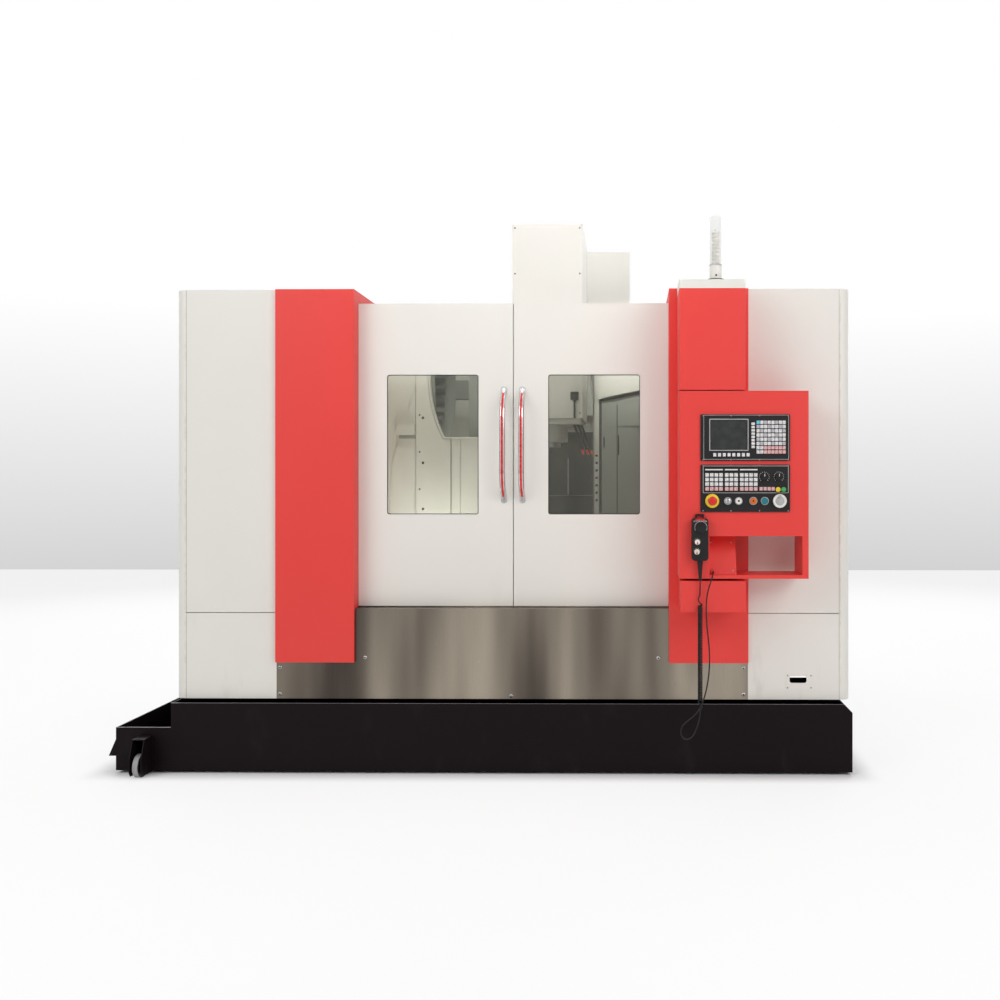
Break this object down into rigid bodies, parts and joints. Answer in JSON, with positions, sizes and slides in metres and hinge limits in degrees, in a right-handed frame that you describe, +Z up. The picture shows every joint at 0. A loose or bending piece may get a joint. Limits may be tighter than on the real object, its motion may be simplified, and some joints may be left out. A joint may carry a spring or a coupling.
{
  "type": "cnc machining center",
  "caption": "Vertical machining centre with an enclosed work area, sliding doors, control station with handset, tool changer and coolant tank.",
  "frame": {"origin": "centre of the footprint, on the floor, without the handset's free cord", "axes": "+Z up, +X to the operator's right, +Y from the operator to the back"},
  "size_m": [3.697, 2.9136, 3.015],
  "materials": {
    "white_paint": "satin",
    "red_paint": "satin",
    "stainless": "satin",
    "black_paint": "satin",
    "chrome": "gloss",
    "clear_pane": "gloss",
    "casting": "satin",
    "ground_steel": "satin",
    "cover_steel": "satin",
    "black_plastic": "matte",
    "grey_plastic": "satin",
    "white_plastic": "gloss",
    "red_plastic": "gloss",
    "orange_plastic": "gloss",
    "teal_plastic": "gloss",
    "clear_plastic": "gloss",
    "cord_rubber": "satin",
    "caster_rubber": "satin"
  },
  "bodies": {
    "machine": {"panel_left_upper": "white_paint", "panel_left_lower": "white_paint", "panel_right_upper": "white_paint", "panel_right_lower": "white_paint", "side_wall_left": "white_paint", "side_wall_right": "white_paint", "rear_panel": "white_paint", "pillar_left": "red_paint", "pillar_right": "red_paint", "apron": "stainless", "door_header": "white_paint", "inner_guard_left": "white_paint", "inner_guard_right": "white_paint", "bed": "casting", "column": "casting", "y_cover_1": "cover_steel", "z_cover_base": "cover_steel", "magazine_housing": "white_paint", "cable_tower": "white_paint", "cabinet": "white_paint", "coolant_tank": "black_paint", "station_tower": "red_paint", "control_box": "red_paint", "junction_box": "red_paint", "lamp_base": "white_paint", "lamp_lens": "clear_plastic", "display_unit": "black_plastic", "operator_unit": "black_plastic", "handset": "black_plastic", "cord_lower": "cord_rubber", "cord_curl": "cord_rubber"},
    "door_left": {"door_left": "white_paint", "window_left": "clear_pane", "handle_left": "chrome"},
    "door_right": {"door_right": "white_paint", "window_right": "clear_pane", "handle_right": "chrome"},
    "saddle": {"saddle": "casting"},
    "table": {"table": "ground_steel"},
    "y_cover_2": {"y_cover_2": "cover_steel"},
    "y_cover_3": {"y_cover_3": "cover_steel"},
    "head": {"head": "casting", "head_cover": "white_paint"},
    "spindle": {"spindle": "ground_steel"},
    "z_cover_middle": {"z_cover_middle": "cover_steel"},
    "tool_disc": {"tool_disc": "ground_steel"},
    "tool_arm": {"tool_arm": "ground_steel"},
    "cabinet_door": {"cabinet_door": "white_paint"},
    "caster_wheel": {"caster_wheel": "caster_rubber"},
    "estop_button": {"estop_button": "red_plastic"},
    "white_button": {"white_button": "white_plastic"},
    "orange_button": {"orange_button": "orange_plastic"},
    "teal_button": {"teal_button": "teal_plastic"},
    "key_switch": {"key_switch": "ground_steel"},
    "feed_knob": {"feed_knob": "black_plastic"},
    "spindle_knob": {"spindle_knob": "black_plastic"},
    "panel_handwheel": {"panel_handwheel": "grey_plastic"},
    "handset_wheel": {"handset_wheel": "black_plastic"},
    "axis_selector": {"axis_selector": "white_plastic"},
    "step_selector": {"step_selector": "white_plastic"}
  },
  "joints": [
    {"name": "door_left_slide", "type": "slide", "parent": "machine", "child": "door_left", "axis": [-1, 0, 0], "range_m": [0, 0.716]},
    {"name": "door_right_slide", "type": "slide", "parent": "machine", "child": "door_right", "axis": [1, 0, 0], "range_m": [0, 0.716]},
    {"name": "y_axis", "type": "slide", "parent": "machine", "child": "saddle", "axis": [0, 1, 0], "range_m": [-0.35, 0.35]},
    {"name": "x_axis", "type": "slide", "parent": "saddle", "child": "table", "axis": [1, 0, 0], "range_m": [-0.6, 0.6]},
    {"name": "y_cover_2_slide", "type": "slide", "parent": "machine", "child": "y_cover_2", "axis": [0, 1, 0], "range_m": [-0.11767, 0.11767]},
    {"name": "y_cover_3_slide", "type": "slide", "parent": "machine", "child": "y_cover_3", "axis": [0, 1, 0], "range_m": [-0.23433, 0.23433]},
    {"name": "z_axis", "type": "slide", "parent": "machine", "child": "head", "axis": [0, 0, 1], "range_m": [-0.65, 0]},
    {"name": "z_cover_slide", "type": "slide", "parent": "machine", "child": "z_cover_middle", "axis": [0, 0, 1], "range_m": [-0.326, 0.001]},
    {"name": "spindle_turn", "type": "hinge", "parent": "head", "child": "spindle", "pos_m": [0.2685, -0.1055, 1.66], "axis": [0, 0, 1], "continuous": true},
    {"name": "magazine_turn", "type": "hinge", "parent": "machine", "child": "tool_disc", "pos_m": [-0.5435, -0.1055, 2.04], "axis": [1, 0, 0], "continuous": true},
    {"name": "arm_swing", "type": "hinge", "parent": "machine", "child": "tool_arm", "pos_m": [-0.1015, -0.1055, 1.6], "axis": [0, 0, 1], "range_deg": [0, 90]},
    {"name": "cabinet_door_hinge", "type": "hinge", "parent": "machine", "child": "cabinet_door", "pos_m": [1.7668, 1.4145, 0.5], "axis": [0, 0, -1], "range_deg": [0, 90]},
    {"name": "caster_roll", "type": "hinge", "parent": "machine", "child": "caster_wheel", "pos_m": [-1.6575, -1.2425, 0.0573], "axis": [1, 0, 0], "continuous": true},
    {"name": "estop_press", "type": "slide", "parent": "machine", "child": "estop_button", "axis": [0, 1, 0], "range_m": [0, 0.005]},
    {"name": "key_switch_turn", "type": "hinge", "parent": "machine", "child": "key_switch", "pos_m": [1.2105, -1.3935, 1.36], "axis": [0, -1, 0], "range_deg": [-90, 0]},
    {"name": "panel_handwheel_turn", "type": "hinge", "parent": "machine", "child": "panel_handwheel", "pos_m": [1.4555, -1.3935, 1.36], "axis": [0, -1, 0], "continuous": true},
    {"name": "handset_wheel_turn", "type": "hinge", "parent": "machine", "child": "handset_wheel", "pos_m": [1.0815, -1.4325, 1.236], "axis": [0, -1, 0], "continuous": true},
    {"name": "white_button_press", "type": "slide", "parent": "machine", "child": "white_button", "axis": [0, 1, 0], "range_m": [0, 0.003], "stiffness_N_per_m": 600},
    {"name": "orange_button_press", "type": "slide", "parent": "machine", "child": "orange_button", "axis": [0, 1, 0], "range_m": [0, 0.003], "stiffness_N_per_m": 600},
    {"name": "teal_button_press", "type": "slide", "parent": "machine", "child": "teal_button", "axis": [0, 1, 0], "range_m": [0, 0.003], "stiffness_N_per_m": 600},
    {"name": "feed_knob_turn", "type": "hinge", "parent": "machine", "child": "feed_knob", "pos_m": [1.3835, -1.3935, 1.474], "axis": [0, -1, 0], "range_deg": [-150, 150]},
    {"name": "spindle_knob_turn", "type": "hinge", "parent": "machine", "child": "spindle_knob", "pos_m": [1.4525, -1.3935, 1.474], "axis": [0, -1, 0], "range_deg": [-150, 150]},
    {"name": "axis_selector_turn", "type": "hinge", "parent": "machine", "child": "axis_selector", "pos_m": [1.0645, -1.4325, 1.168], "axis": [0, -1, 0], "range_deg": [-75, 75]},
    {"name": "step_selector_turn", "type": "hinge", "parent": "machine", "child": "step_selector", "pos_m": [1.0625, -1.4325, 1.122], "axis": [0, -1, 0], "range_deg": [-75, 75]}
  ],
  "couplings": [
    {"joint": "y_cover_2_slide", "follows": "y_axis", "ratio": 0.33333},
    {"joint": "y_cover_3_slide", "follows": "y_axis", "ratio": 0.66667},
    {"joint": "z_cover_slide", "follows": "z_axis", "ratio": 0.5}
  ]
}
